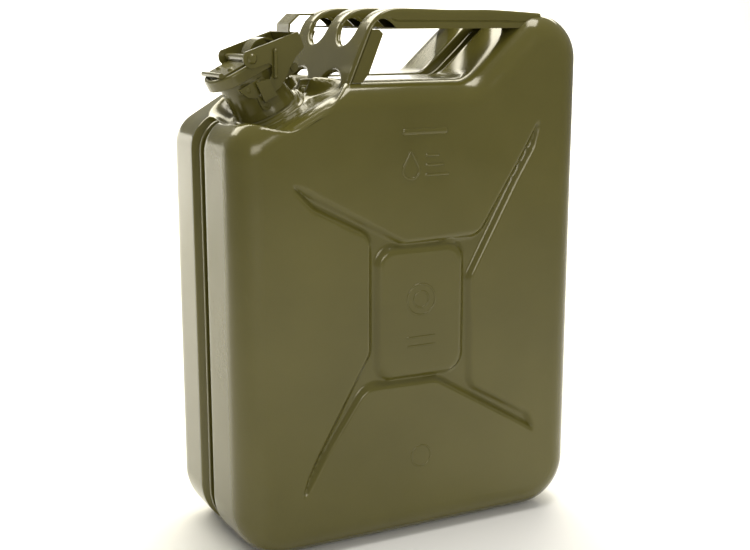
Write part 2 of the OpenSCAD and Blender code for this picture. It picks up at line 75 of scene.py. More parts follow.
# The flat part of the top, and the slope from it up to the hump
FLAT_Z = 416.0
SLOPE_FOOT_X = 56.4
SLOPE_TOP_X = 117.6

# The shoulder that falls from the flat top to the spout end
SHOULDER_X = -99.6
SHOULDER_Z = 372.9

# The sheet: its thickness, the round along each face's edge, the sides' lean, and the seam groove's depth
WALL = 1.2
EDGE_R = 25.0
DRAFT = 1.6
GROOVE_DEEP = 8.0

# Corners of the side outline, anticlockwise: x, z, radius
CORNERS = [(-HALF_LEN, 0, 48), (HALF_LEN, 0, 48), (HALF_LEN, HUMP_Z, 42), (SLOPE_TOP_X, HUMP_Z, 30),
           (SLOPE_FOOT_X, FLAT_Z, 25), (SHOULDER_X, FLAT_Z, 60), (-HALF_LEN, SHOULDER_Z, 32)]

# The closure's frame: where it stands, and how far it leans
LID_X = -128.5
LID_Z = 419.5
LID_TILT = math.radians(27)

# The neck's foot in the closure's frame, and the scoop in the shoulder round it
FOOT_U = 3.0
FOOT_N = -36.0
SCOOP_FLAT_R = 32.0
SCOOP_BLEND = 19.0
SCOOP_RISE = 21.0

# Past its blend the scoop's wall climbs at this rate, from a little inside the blend's end
SCOOP_CLIMB = 1.3
CLIMB_OVERLAP = 3.0

# The near half of the scoop is wider than long, narrows towards the handle and has a lower floor
NEAR_REACH = 2.6
NEAR_NARROW = 0.45
NARROW_OVER = 60.0
NEAR_SAG = 6.0
SAG_OVER = 26.0
SAG_FADE = 0.5
FADE_FROM = 30.0
FADE_OVER = 40.0


def smooth(t):
    """Smooth step from 0 to 1."""
    t = np.clip(t, 0.0, 1.0)
    return t * t * (3 - 2 * t)


def soft_min(a, b, k):
    """The smaller of a and b, rounded off where they are within k of each other."""
    h = np.clip(0.5 + 0.5 * (b - a) / k, 0.0, 1.0)
    return b + (a - b) * h - k * h * (1 - h)


def to_closure(p):
    """Points of the part's frame in the closure's frame."""
    x, z = p[..., 0] - LID_X, p[..., 2] - LID_Z
    c, s = math.cos(LID_TILT), math.sin(LID_TILT)
    return np.stack([x * c + z * s, p[..., 1], z * c - x * s], -1)


def from_closure(q):
    """Points of the closure's frame in the part's frame."""
    c, s = math.cos(LID_TILT), math.sin(LID_TILT)
    u, v, n = q[..., 0], q[..., 1], q[..., 2]
    return np.stack([LID_X + u * c - n * s, v, LID_Z + u * s + n * c], -1)


# ------------------------------------------------------------------------------------------------ curves

def rounded(points, radii, closed=False, turn=7.5):
    """A polyline in 2-D with its corners rounded off by arcs whose steps are near `turn` degrees."""
    pts = [np.array(p, float) for p in points]
    count = len(pts)
    out = []
    for i, b in enumerate(pts):
        if not closed and i in (0, count - 1):
            out.append(b)
            continue
        a, c = pts[i - 1], pts[(i + 1) % count]
        u, v = (a - b) / np.linalg.norm(a - b), (c - b) / np.linalg.norm(c - b)
        angle = math.acos(np.clip(u @ v, -1, 1))
        r = radii[i]
        if r <= 0 or math.pi - angle < 1e-3:
            out.append(b)
            continue
        mid = b + (u + v) / np.linalg.norm(u + v) * r / math.sin(angle / 2)
        p, q = b + u * r / math.tan(angle / 2) - mid, b + v * r / math.tan(angle / 2) - mid
        start = math.atan2(p[1], p[0])
        sweep = (math.atan2(q[1], q[0]) - start + math.pi) % (2 * math.pi) - math.pi
        steps = max(2, int(abs(math.degrees(sweep)) / turn))
        for k in range(steps + 1):
            f = start + sweep * k / steps
            out.append(mid + r * np.array([math.cos(f), math.sin(f)]))
    return np.array(out)


def resampled(points, count, closed=True):
    """The same line with `count` points at equal spacing."""
    pts = np.vstack([points, points[:1]]) if closed else np.asarray(points)
    along = np.concatenate([[0], np.cumsum(np.linalg.norm(np.diff(pts, axis=0), axis=1))])
    at = np.linspace(0, along[-1], count, endpoint=not closed)
    return np.stack([np.interp(at, along, pts[:, k]) for k in range(pts.shape[1])], 1)


def divided(points, longest):
    """The same line with no stretch longer than `longest`."""
    out = [points[0]]
    for a, b in zip(points[:-1], points[1:]):
        steps = max(1, math.ceil(np.linalg.norm(b - a) / longest))
        out += [a + (b - a) * k / steps for k in range(1, steps + 1)]
    return np.array(out)


# -------------------------------------------------------------------------------------------------- meshes

def add_piece(name, verts, faces, material, body="can", replaces=(), sharp=35):
    """A mesh piece from points in millimetres. Edges that bend by more than `sharp` degrees stay crisp."""
    mesh = bpy.data.meshes.new(name)
    mesh.from_pydata((np.asarray(verts, float) * MM).tolist(), [], [list(f) for f in faces])
    work = bmesh.new()
    work.from_mesh(mesh)
    bmesh.ops.remove_doubles(work, verts=work.verts, dist=1e-6)
    bmesh.ops.dissolve_degenerate(work, edges=work.edges, dist=1e-7)
    bmesh.ops.recalc_face_normals(work, faces=work.faces)
    for face in work.faces:
        face.smooth = True
    for edge in work.edges:
        if len(edge.link_faces) == 2 and edge.calc_face_angle(0) > math.radians(sharp):
            edge.smooth = False
    work.to_mesh(mesh)
    work.free()
    piece = bpy.data.objects.new(name, mesh)
    bpy.context.scene.collection.objects.link(piece)
    mesh.materials.append(material)
    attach(piece, body)
    if replaces:
        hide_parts(*replaces)
    return piece


def ring_faces(a, b, n, closed=True):
    """Quads between two rings that start at a and b and have n points each."""
    return [(a + j, a + (j + 1) % n, b + (j + 1) % n, b + j) for j in range(n if closed else n - 1)]


def skin(rings, loop=False):
    """Points and faces of a tube through rings of equal length. Its ends are joined, or each is capped."""
    n = len(rings[0])
    count = len(rings)
    faces = []
    for i in range(count if loop else count - 1):
        faces += ring_faces(i * n, (i + 1) % count * n, n)
    if not loop:
        faces += [tuple(range(n))[::-1], tuple(range((count - 1) * n, count * n))]
    return np.vstack(rings), faces


SQUEEZE_ROUND = 3.0


def turned(profile, sides=96, centre=None, squeeze=None):
    """A closed ring of revolution in the closure's frame from (r, n) points. centre(n) shifts a ring along u,
    and squeeze limits how far it reaches across the can."""
    f = np.linspace(0, 2 * math.pi, sides, endpoint=False)
    widest = max(p[0] for p in profile)
    rings = []
    for r, n in profile:
        u = r * np.cos(f) + (centre(n) if centre else 0.0)
        v = r * np.sin(f)
        reach = squeeze - (widest - r) if squeeze else math.inf
        if r > reach - SQUEEZE_ROUND:
            limit = np.full_like(v, max(reach, 0.5))
            v = np.sign(v) * soft_min(np.abs(v), limit, SQUEEZE_ROUND)
        rings.append(from_closure(np.stack([u, v, np.full_like(u, n)], 1)))
    return skin(rings, loop=True)


# ------------------------------------------------------------------------------------------------ materials

def new_material(name):
    """A material with its node tree, its shader and its object coordinates."""
    material = bpy.data.materials.new(name)
    material.use_nodes = True
    nodes, links = material.node_tree.nodes, material.node_tree.links
    return material, nodes, links, nodes["Principled BSDF"], nodes.new("ShaderNodeTexCoord")


def noise(nodes, links, coords, scale, detail=2.0):
    """Noise in the object's own space, about `scale` spots to the metre."""
    node = nodes.new("ShaderNodeTexNoise")
    node.inputs["Scale"].default_value = scale
    node.inputs["Detail"].default_value = detail
    links.new(coords.outputs["Object"], node.inputs["Vector"])
    return node


def ramp(nodes, links, source, stops):
    """Colours along a value, as (place, colour) stops."""
    node = nodes.new("ShaderNodeValToRGB")
    links.new(source, node.inputs["Fac"])
    elements = node.color_ramp.elements
    while len(elements) < len(stops):
        elements.new(0.5)
    for element, (place, colour) in zip(elements, stops):
        element.position = place
        element.color = (*colour, 1.0)
    return node


def bump(nodes, links, height, strength, distance, before=None):
    """Relief from a height, on top of the relief `before` it."""
    node = nodes.new("ShaderNodeBump")
    node.inputs["Strength"].default_value = strength
    node.inputs["Distance"].default_value = distance
    links.new(height, node.inputs["Height"])
    if before:
        links.new(before.outputs["Normal"], node.inputs["Normal"])
    return node


def enamel(name, colour, gloss=0.15, peel=0.25, wave=0.12):
    """Glossy olive enamel: slow colour drift, orange peel, and slight waves of the pressed sheet under it."""
    material, nodes, links, shader, coords = new_material(name)
    drift = noise(nodes, links, coords, 7.0, 4.0)
    speck = noise(nodes, links, coords, 900.0, 1.0)
    paler = tuple(c * 1.10 + 0.004 for c in colour)
    darker = tuple(c * 0.90 for c in colour)
    dimmed = (0.965,) * 3
    full = (1.0,) * 3
    base = ramp(nodes, links, drift.outputs["Fac"], [(0.30, darker), (0.70, paler)])
    fine = ramp(nodes, links, speck.outputs["Fac"], [(0.35, dimmed), (0.65, full)])
    mix = nodes.new("ShaderNodeMix")
    mix.data_type = "RGBA"
    mix.blend_type = "MULTIPLY"
    mix.inputs["Factor"].default_value = 1.0
    links.new(base.outputs["Color"], mix.inputs["A"])
    links.new(fine.outputs["Color"], mix.inputs["B"])
    links.new(mix.outputs["Result"], shader.inputs["Base Color"])
    smear = noise(nodes, links, coords, 34.0, 5.0)
    rough = nodes.new("ShaderNodeMapRange")
    rough.inputs["From Min"].default_value = 0.3
    rough.inputs["From Max"].default_value = 0.7
    rough.inputs["To Min"].default_value = gloss * 0.8
    rough.inputs["To Max"].default_value = gloss * 1.35
    links.new(smear.outputs["Fac"], rough.inputs["Value"])
    links.new(rough.outputs["Result"], shader.inputs["Roughness"])
    slow = noise(nodes, links, coords, 16.0, 1.0)
    waves = bump(nodes, links, slow.outputs["Fac"], wave, 0.004)
    skin_grain = noise(nodes, links, coords, 420.0, 2.0)
    peeled = bump(nodes, links, skin_grain.outputs["Fac"], peel, 0.00012, waves)
    links.new(peeled.outputs["Normal"], shader.inputs["Normal"])
    shader.inputs["IOR"].default_value = 1.52
    shader.inputs["Specular Tint"].default_value = (1.0, 0.96, 0.84, 1.0)
    return material


def rubber(name):
    """Black moulded rubber with a fine matt grain."""
    material, nodes, links, shader, coords = new_material(name)
    grain = noise(nodes, links, coords, 700.0, 3.0)
    dark = (0.012, 0.012, 0.011)
    pale = (0.03, 0.029, 0.027)
    tone = ramp(nodes, links, grain.outputs["Fac"], [(0.3, dark), (0.7, pale)])
    links.new(tone.outputs["Color"], shader.inputs["Base Color"])
    shader.inputs["Roughness"].default_value = 0.62
    grained = bump(nodes, links, grain.outputs["Fac"], 0.35, 0.0001)
    links.new(grained.outputs["Normal"], shader.inputs["Normal"])
    return material


OLIVE = (0.088, 0.078, 0.0135)
body_paint = enamel("body_enamel", OLIVE)
handle_paint = enamel("handle_enamel", (0.086, 0.076, 0.0135), gloss=0.13)
fitting_paint = enamel("fitting_enamel", (0.090, 0.080, 0.016), gloss=0.15, peel=0.3, wave=0.05)
inner_paint = enamel("inner_enamel", (0.050, 0.043, 0.012), gloss=0.3)
gasket_rubber = rubber("gasket_rubber")

# ------------------------------------------------------------------------------------------ the half shells

OUTLINE_N = 480
side_line = rounded([c[:2] for c in CORNERS], [c[2] for c in CORNERS], closed=True, turn=1.5)
outline = resampled(side_line, OUTLINE_N)
ahead = np.roll(outline, -1, 0) - np.roll(outline, 1, 0)
ahead /= np.linalg.norm(ahead, axis=1)[:, None]
outward = np.stack([ahead[:, 1], -ahead[:, 0]], 1)


def near_sag(across):
    """How much lower the scoop's floor and the neck's foot lie on the near side."""
    return NEAR_SAG * smooth(across / SAG_OVER) * (1 - SAG_FADE * smooth((across - FADE_FROM) / FADE_OVER))


def scooped(p, inset, thick=0.0, reach=1.0):
    """Pushes points of the sheet down into the scoop round the neck's foot, `reach` times as wide as long. A
    reach over 1 is the near half, which also narrows towards the handle and sags."""
    q = to_closure(p)
    across = np.abs(q[..., 1])
    near = reach > 1
    along = q[..., 0] - FOOT_U
    along = np.where(along > 0, along * (1 - NEAR_NARROW * near * smooth(across / NARROW_OVER)), along)
    r = np.hypot(along, across / reach)
    rise = SCOOP_RISE * smooth((r - SCOOP_FLAT_R) / SCOOP_BLEND)
    level = FOOT_N - near * near_sag(across) + rise - 0.25 * inset - thick
    level = level + SCOOP_CLIMB * np.maximum(0, r - SCOOP_FLAT_R - SCOOP_BLEND + CLIMB_OVERLAP)
    q[..., 2] = soft_min(q[..., 2], level, 3.5)
    return from_closure(q)


def section_ring(inset, y, thick, reach):
    """The side outline drawn in by `inset` and set at depth y, with the scoop pushed into it."""
    flat = outline - outward * inset
    ring = np.stack([flat[:, 0], np.full(OUTLINE_N, y), flat[:, 1]], 1)
    return scooped(ring, inset, thick, reach)


# The pressed X: one hollow with four arms, and the raised pad in its middle. x, z, corner radius
PRESS_DEEP = 4.6
PRESS_WALL = 6.0
X_CORNERS = [(-130, 339, 3), (-14, 277, 10), (60, 279, 14), (100, 341, 60), (130, 390, 3), (120, 352, 20),
             (102, 323, 40), (54.5, 238, 12), (57, 138, 12), (121, 101, 14), (130, 78, 3), (18, 145, 16),
             (-52, 146, 16), (-91, 90, 60), (-123, 36, 3), (-111, 74, 20), (-102, 92, 40), (-51, 180, 12),
             (-51, 282, 12), (-104, 309, 20)]
PAD_LO = np.array([-38.0, 156.0])
PAD_HI = np.array([42.0, 268.0])
PAD_R = 13.0
pad_mid = (PAD_LO + PAD_HI) / 2
pad_half = (PAD_HI - PAD_LO) / 2

x_line = rounded([c[:2] for c in X_CORNERS], [c[2] for c in X_CORNERS], closed=True)


def inside_distance(p, line):
    """Signed distance of 2-D points to a closed line, positive inside."""
    best = np.full(len(p), 1e9)
    inside = np.zeros(len(p), bool)
    for a, b in zip(line, np.roll(line, -1, 0)):
        edge = b - a
        t = np.clip(((p - a) @ edge) / (edge @ edge), 0, 1)
        best = np.minimum(best, np.linalg.norm(p - a - t[:, None] * edge, axis=1))
        if a[1] != b[1]:
            cross_x = a[0] + (p[:, 1] - a[1]) * edge[0] / edge[1]
            inside ^= ((a[1] > p[:, 1]) != (b[1] > p[:, 1])) & (p[:, 0] < cross_x)
    return np.where(inside, best, -best)


def pad_distance(p):
    """Signed distance of 2-D points to the raised pad, positive outside."""
    d = np.abs(p - pad_mid) - pad_half + PAD_R
    return np.linalg.norm(np.maximum(d, 0), axis=1) + np.minimum(d.max(axis=1), 0) - PAD_R


def wall_ramp(t):
    """Rise of a pressed wall: a straight slope with rounded foot and brow."""
    return 0.45 * np.clip(t, 0, 1) + 0.55 * smooth(t)


def press_depth(p):
    """How deep 2-D points of the face are pressed in: the X, with the pad left standing."""
    return (PRESS_DEEP * wall_ramp(inside_distance(p, x_line) / PRESS_WALL)
            * wall_ramp(pad_distance(p) / PRESS_WALL))


FACE_REACH = 120.0
HALVINGS = 30


def pad_loop():
    """Points of the pad's outline, each on the line from the pad's middle to a point of the side outline."""
    d = outline - pad_mid
    d = d / np.linalg.norm(d, axis=1)[:, None]
    low, high = np.zeros(OUTLINE_N), np.full(OUTLINE_N, FACE_REACH)
    for _ in range(HALVINGS):
        reach = (low + high) / 2
        out = pad_distance(pad_mid + d * reach[:, None]) > 0
        high, low = np.where(out, reach, high), np.where(out, low, reach)
    return pad_mid + d * reach[:, None]


def face_rings(y, count, pad_count):
    """Rings of the flat face, from its rounded edge in to the pad and on almost to the pad's middle."""
    edge = outline - outward * (EDGE_R + DRAFT)
    pad = pad_loop()
    loops = [edge + (pad - edge) * t for t in np.linspace(0, 1, count + 1)[1:]]
    loops += [pad_mid + (pad - pad_mid) * t for t in np.linspace(1, 0.04, pad_count + 1)[1:]]
    return [np.stack([p[:, 0], y + press_depth(p), p[:, 1]], 1) for p in loops]


def half_shell(name, node, side):
    """One half of the tank: sections as (inset, y) from the seam to the face's edge, outside and inside."""
    outer = [(3, 0), (3, -WALL), (GROOVE_DEEP, -WALL), (GROOVE_DEEP, -9.2), (0, -15.2), (DRAFT, -HALF_DEEP),
             (EDGE_R + DRAFT, -HALF_DEEP)]
    outer = divided(rounded(outer, [0, 0.45, 0.9, 2.2, 3.2, EDGE_R, 0], turn=11), 4.2)
    inner = [(GROOVE_DEEP + WALL, 0), (GROOVE_DEEP + WALL, -8.8), (WALL, -14.8), (WALL, WALL - HALF_DEEP),
             (EDGE_R, WALL - HALF_DEEP)]
    inner = divided(rounded(inner, [0, 1, 4, EDGE_R - WALL, 0], turn=18), 9.0)
    reach = NEAR_REACH if side < 0 else 1.0
    outside = [section_ring(s, y, 0.0, reach) for s, y in outer] + face_rings(-HALF_DEEP, 86, 16)
    inside = [section_ring(s, y, WALL, reach) for s, y in inner] + face_rings(-HALF_DEEP + 1.6 * WALL, 22, 5)
    verts, faces = skin(inside[::-1] + outside)
    if side > 0:
        verts = verts * np.array([1, -1, 1])
        faces = [f[::-1] for f in faces]
    shell = add_piece(name, verts, faces, body_paint, "can", [node], sharp=50)
    cut_throat(shell)


THROAT_R = 25
THROAT_SIDES = 64


def cut_throat(shell):
    """Opens the tank under the neck."""
    f = np.linspace(0, 2 * math.pi, THROAT_SIDES, endpoint=False)
    u = FOOT_U + THROAT_R * np.cos(f)
    v = THROAT_R * np.sin(f)
    ends = (FOOT_N - 16, FOOT_N + 12)
    rings = [from_closure(np.stack([u, v, np.full(THROAT_SIDES, n)], 1)) for n in ends]
    verts, faces = skin(rings)
    mesh = bpy.data.meshes.new("throat_cut")
    mesh.from_pydata((verts * MM).tolist(), [], faces)
    work = bmesh.new()
    work.from_mesh(mesh)
    bmesh.ops.recalc_face_normals(work, faces=work.faces)
    work.to_mesh(mesh)
    work.free()
    cutter = bpy.data.objects.new("throat_cut", mesh)
    bpy.context.scene.collection.objects.link(cutter)
    cut = shell.modifiers.new("throat", "BOOLEAN")
    cut.operation = "DIFFERENCE"
    cut.solver = "MANIFOLD"
    cut.object = cutter
    done = bpy.data.meshes.new_from_object(shell.evaluated_get(bpy.context.evaluated_depsgraph_get()))
    shell.modifiers.clear()
    shell.data = done
    bpy.data.objects.remove(cutter)


half_shell("shell_front", "front_shell", -1)
half_shell("shell_back", "back_shell", 1)


# ------------------------------------------------------------------------------------------- pressed marks

RIB_ARC = 8
RIB_SINK = 0.25
END_WIDTH = 0.45
END_HEIGHT = 0.2


def ribs(name, lines, width, height):
    """Raised lines on the near face, each a list of x, z points and whether it closes on itself. An open line
    has narrower, lower ends."""
    verts, faces = [], []
    for points, closed in lines:
        pts = np.asarray(points, float)
        if not closed:
            reach = width / 2
            first, last = pts[0] - pts[1], pts[-1] - pts[-2]
            pts = np.vstack([pts[0] + first / np.linalg.norm(first) * reach, pts,
                             pts[-1] + last / np.linalg.norm(last) * reach])
        pts = divided(np.vstack([pts, pts[:1]]) if closed else pts, 2.0)
        pts = pts[:-1] if closed else pts
        ahead = np.roll(pts, -1, 0) - np.roll(pts, 1, 0)
        if not closed:
            ahead[0], ahead[-1] = pts[1] - pts[0], pts[-1] - pts[-2]
        ahead /= np.linalg.norm(ahead, axis=1)[:, None]
        rings = []
        for i, (p, t) in enumerate(zip(pts, ahead)):
            end = not closed and i in (0, len(pts) - 1)
            side = np.array([-t[1], t[0]])
            ring = []
            for k in range(RIB_ARC + 1):
                a = math.pi * k / RIB_ARC
                off = side * math.cos(a) * width / 2 * (END_WIDTH if end else 1)
                rise = (height * math.sin(a) * (END_HEIGHT if end else 1)) - RIB_SINK
                ring.append((p[0] + off[0], -HALF_DEEP - rise, p[1] + off[1]))
            rings.append(ring)
        line_verts, line_faces = skin(np.array(rings), loop=closed)
        base = len(verts)
        verts += line_verts.tolist()
        faces += [[i + base for i in face] for face in line_faces]
    add_piece(name, verts, faces, body_paint, "can", (), sharp=60)


def ring_points(x, z, r, count=40):
    """Points of a circle on the face."""
    turns = np.linspace(0, 2 * math.pi, count, endpoint=False)
    return np.stack([x + r * np.cos(turns), z + r * np.sin(turns)], 1)


def drop_points(x, z, r, tall):
    """Outline of a plain drop: a round foot that runs up to a point."""
    turns = np.linspace(math.radians(-215), math.radians(35), 26)
    bowl = np.stack([x + r * np.cos(turns), z + r * np.sin(turns)], 1)
    return np.vstack([bowl, [[x, z + tall]]])


def level(z, left, right):
    """A straight line along the face at height z."""
    return [(left, z), (right, z)], False


def marks():
    """A fill line, a drop with three level lines, two rings and two bars on the pad, and a blank ring."""
    ribs("fill_line", [level(371.3, -15.5, 24.5)], 5.4, 1.3)
    drop = drop_points(-9, 338.5, 8, 16.5), True
    levels = [level(333.5, 6, 28), level(342, 6, 23), level(350.5, 6, 18)]
    ribs("level_mark", [drop] + levels, 2.6, 1.0)
    rings = [(ring_points(2, 223, r), True) for r in (14, 7.5)]
    bars = [level(z, -12, 16) for z in (189, 181)]
    ribs("pad_mark", rings + bars, 2.0, 0.75)
    ribs("blank_stamp", [(ring_points(3, 77, 10), True)], 1.9, 0.75)


marks()

# -------------------------------------------------------------------------------------------- seam and neck

BEAD_INSET = 2.7
BEAD_HALF_W = 1.75
BEAD_RISE = 0.75
BEAD_RIPPLE = 0.05


def weld_bead():
    """Rolled weld along the flanges, faintly rippled, from one side of the neck's foot round to the other."""
    flat = outline - outward * BEAD_INSET
    line = scooped(np.stack([flat[:, 0], np.zeros(OUTLINE_N), flat[:, 1]], 1), BEAD_INSET)
    q = to_closure(line)
    hidden = (np.hypot(q[:, 0] - FOOT_U, q[:, 1]) < 30) & (q[:, 2] > FOOT_N - 30)
    first = (int(np.flatnonzero(hidden)[-1]) + 1) % OUTLINE_N
    order = [(first + k) % OUTLINE_N for k in range(OUTLINE_N - int(hidden.sum()))]
    f = np.linspace(0, 2 * math.pi, 10, endpoint=False)
    rings = []
    for k, i in enumerate(order):
        swell = 1 + BEAD_RIPPLE * math.sin(k * 2.4)
        out = np.array([outward[i][0], 0, outward[i][1]])
        across = np.outer(BEAD_HALF_W * np.cos(f) * swell, (0, 1, 0))
        rise = np.outer(BEAD_RISE * np.sin(f) * swell, out)
        rings.append(line[i] + across + rise)
    verts, faces = skin(rings)
    add_piece("seam_bead", verts, faces, body_paint, "can", ["seam_weld_bead"])


def neck_centre(n):
    """How far the neck's middle has moved towards the handle at height n."""
    return FOOT_U * float(smooth((-n - 2) / 31.0))


def foot_centre(n):
    """The foot's middle, the same at every height n."""
    return FOOT_U


def neck():
    """Filler neck: a mouth on the closure's axis, and a tube that moves over to the handle on its way down."""
    tube = [(24.5, -46), (24.5, -37.5), (28.5, -36.5), (27.2, -30), (25.5, -12), (25.5, 6.2), (23.5, 6.2),
            (23.5, -12), (22, -30), (22, -46)]
    tube = rounded(tube, [0, 0.3, 0.6, 6, 20, 0.9, 0.9, 10, 6, 0], turn=12)
    verts, faces = turned(divided(tube, 3.5), centre=neck_centre)
    add_piece("filler_neck", verts, faces, fitting_paint, "can", ["neck_tube"])


def neck_foot():
    """Beaded ring that welds the neck to the scoop's floor, and follows its sag on the near side."""
    ring = [(26.5, -39), (35.5, -38), (35.5, -35.6), (33, -34.6), (31.5, -35.4), (30.2, -33.2), (28.2, -32.6),
            (26.6, -29)]
    ring = rounded(ring, [0, 1, 1.1, 0.9, 0.6, 1.0, 1.2, 0], turn=14)
    verts, faces = turned(ring, centre=foot_centre)
    spots = to_closure(verts)
    spots[:, 2] -= np.where(spots[:, 1] < 0, near_sag(np.abs(spots[:, 1])), 0)
    add_piece("neck_foot", from_closure(spots), faces, fitting_paint, "can", ["neck_collar"])


LID_TALL = 10.6
LID_HALF_W = 27.4


def lid():
    """Pressed lid with a rolled brow, a dished top, and a skirt squeezed in between the lever plates."""
    lo, hi = 0.0, LID_TALL
    section = [(32.6, lo), (34, lo), (34, hi), (31.4, hi), (30.2, hi - 1.3), (0.3, hi - 1.1), (0.3, hi - 2.3),
               (29.8, hi - 2.5), (32.6, hi - 1.6)]
    section = rounded(section, [0.4, 0.5, 2.4, 0.9, 1.2, 0, 0, 1.2, 1.2], closed=True, turn=15)
    verts, faces = turned(divided(section, 3.5), squeeze=LID_HALF_W)
    add_piece("lid_pressing", verts, faces, fitting_paint, "lid", ["lid_cap"])


weld_bead()
neck()
neck_foot()
lid()


# ------------------------------------------------------------------------------------------ carrying handle

# The bars: their top and lower edge, width, and distance apart
BAR_TOP = 475.0
BAR_LOW = 457.5
BAR_W = 22.0
BAR_PITCH = 58.0
BAR_SHEET = 1.4

# Along the bar its top sags a little, and falls away before the hump, where it ends inside the tank's outline
BAR_SAG = 1.2
SAG_LENGTH = 60
FALL = 3.3
FALL_FROM = 75
FALL_LENGTH = 57
BAR_END_X = 131.0
SLOPE_MET_Z = 464

# The saddle: foot and upper corner of its outer sheet as x, z, and the round at that corner
SADDLE_FOOT = np.array([-66.0, 406.0])
SADDLE_KNEE = np.array([-36.0, 475.0])
KNEE_R = 32.0
SHEET = 1.6
EDGE_ROUND = 3.0
lean = (SADDLE_KNEE - SADDLE_FOOT) / np.linalg.norm(SADDLE_KNEE - SADDLE_FOOT)
LEAN = math.atan2(lean[1], lean[0])
KNEE_FROM = np.linalg.norm(SADDLE_KNEE - SADDLE_FOOT) - KNEE_R * math.tan(LEAN / 2)
KNEE_TO = KNEE_FROM + KNEE_R * LEAN
KNEE_MID = np.array([SADDLE_KNEE[0] + KNEE_R * math.tan(LEAN / 2), BAR_TOP - KNEE_R])

# Distance up the sheet where the saddle ends and the bars take over
JOIN_S = 63.2

# Arches along the saddle's foot, and the depth of the gaps between its prongs
ARCH_MID = 33.5
ARCH_HALF = 20.5
ARCH_TALL = 17.0
GAP_DEEP = 21.5


def handle_line(s):
    """Point of the handle's outer sheet at distance s from the saddle's foot, and the way out of it."""
    if s <= KNEE_FROM:
        return SADDLE_FOOT + lean * s, np.array([-lean[1], lean[0]])
    if s <= KNEE_TO:
        turn = math.pi / 2 + LEAN - (s - KNEE_FROM) / KNEE_R
        way = np.array([math.cos(turn), math.sin(turn)])
        return KNEE_MID + KNEE_R * way, way
    x = KNEE_MID[0] + s - KNEE_TO
    sag = BAR_SAG * float(smooth((x - KNEE_MID[0]) / SAG_LENGTH))
    fall = FALL * max(0.0, (x - FALL_FROM) / FALL_LENGTH) ** 1.3
    return np.array([x, BAR_TOP - sag - fall]), np.array([0.0, 1.0])


SIDE_POINTS = 13
ARC_POINTS = 6
NARROWED = 0.9
INNER_R = 1.2


def bar_section(s, top):
    """Channel section as (across, depth) points: the outside from one lower edge over to the other, then the
    inside. It grows deeper along the bar, and its sides step in by NARROWED as it does."""
    deep = 3.0 + (top - BAR_LOW - 3.0) * float(smooth((s - JOIN_S - 4) / 24))
    grown = float(smooth((deep - 8) / 9))
    step_in = NARROWED * grown
    slight = 0.1 * grown
    half = BAR_W / 2
    within = half - BAR_SHEET
    r = min(EDGE_ROUND, deep * 0.95)
    quarter = math.pi / 2
    arc = [(half - r + r * math.sin(a), r - r * math.cos(a)) for a in np.linspace(0, quarter, ARC_POINTS)]
    side = [(half, 0.5 * deep), (half - slight, 0.56 * deep), (half - step_in, 0.60 * deep),
            (half - step_in, 0.64 * deep), (half - slight, 0.68 * deep), (half, 0.74 * deep), (half, deep)]
    outside = arc + [p for p in side if p[1] > r or p[1] == deep]
    while len(outside) < SIDE_POINTS:
        outside.insert(ARC_POINTS, (half, r + 0.01 * (SIDE_POINTS - len(outside))))
    under = BAR_SHEET + 1
    inside = [(within, deep), (within, under + (deep - BAR_SHEET - 1) * 0.5)]
    inside += [(within - INNER_R + INNER_R * math.cos(a), BAR_SHEET + INNER_R - INNER_R * math.sin(a))
               for a in np.linspace(0, quarter, 3)]
    left = [(-across, depth) for across, depth in outside + inside]
    return outside[::-1] + left + inside[::-1]


def bar(name, node, y, sink):
    """One carrying bar: the prong's channel that grows into the bar and runs on into the hump. It reaches in
    behind the slope by `sink`."""
    slope = (SLOPE_TOP_X - SLOPE_FOOT_X) / (HUMP_Z - FLAT_Z)
    knee = np.linspace(JOIN_S, KNEE_TO, 20)
    straight = np.linspace(KNEE_TO, KNEE_TO + 146, 50)[1:]
    rings = []
    for s in np.concatenate([knee, straight]):
        place, way = handle_line(s)
        ring = []
        for across, depth in bar_section(s, max(place[1], BAR_LOW + 6)):
            p = place - way * depth
            z = max(p[1], BAR_LOW) if s > JOIN_S + 10 else p[1]
            limit = SLOPE_FOOT_X + (z - FLAT_Z) * slope + sink if z < SLOPE_MET_Z else BAR_END_X
            ring.append((min(p[0], limit, BAR_END_X), y + across, z))
        rings.append(ring)
    verts, faces = skin(np.array(rings))
    add_piece(name, verts, faces, handle_paint, "can", [node], sharp=40)


def saddle_edge():
    """Edge of the saddle's sheet in its own plane, as (across, up the sheet) points, anticlockwise."""
    half = BAR_PITCH + BAR_W / 2
    gap = (BAR_PITCH - BAR_W) / 2
    foot = 0.5
    points = [(-half, foot)]
    for mid in (-ARCH_MID, ARCH_MID):
        points += [(mid - ARCH_HALF * math.cos(a), foot + ARCH_TALL * math.sin(a))
                   for a in np.linspace(0, math.pi, 17)]
    points += [(half, foot), (half, JOIN_S)]
    for mid in (BAR_PITCH / 2, -BAR_PITCH / 2):
        points += [(mid + gap * math.cos(a), JOIN_S - GAP_DEEP * math.sin(a))
                   for a in np.linspace(0, math.pi, 21)]
    points += [(-half, JOIN_S)]
    return np.array(points)


def saddle_loops():
    """Loops round the saddle's edge as (points, depth): the rounded brow, the turned-back lip, the inside.
    Where the bars join on, every loop stays on the edge."""
    edge = resampled(saddle_edge(), 360)
    along = np.roll(edge, -1, 0) - np.roll(edge, 1, 0)
    along /= np.linalg.norm(along, axis=1)[:, None]
    inward = np.stack([-along[:, 1], along[:, 0]], 1)
    below_join = edge[:, 1:] < JOIN_S - 0.01
    lip = EDGE_ROUND + 0.6
    steps = [(EDGE_ROUND * (1 - math.sin(a)), EDGE_ROUND * (1 - math.cos(a)))
             for a in np.linspace(0.02, math.pi / 2, 6)]
    steps += [(0.0, lip), (SHEET, lip), (EDGE_ROUND, SHEET)]
    return [(edge + inward * inset * below_join, depth) for inset, depth in steps]


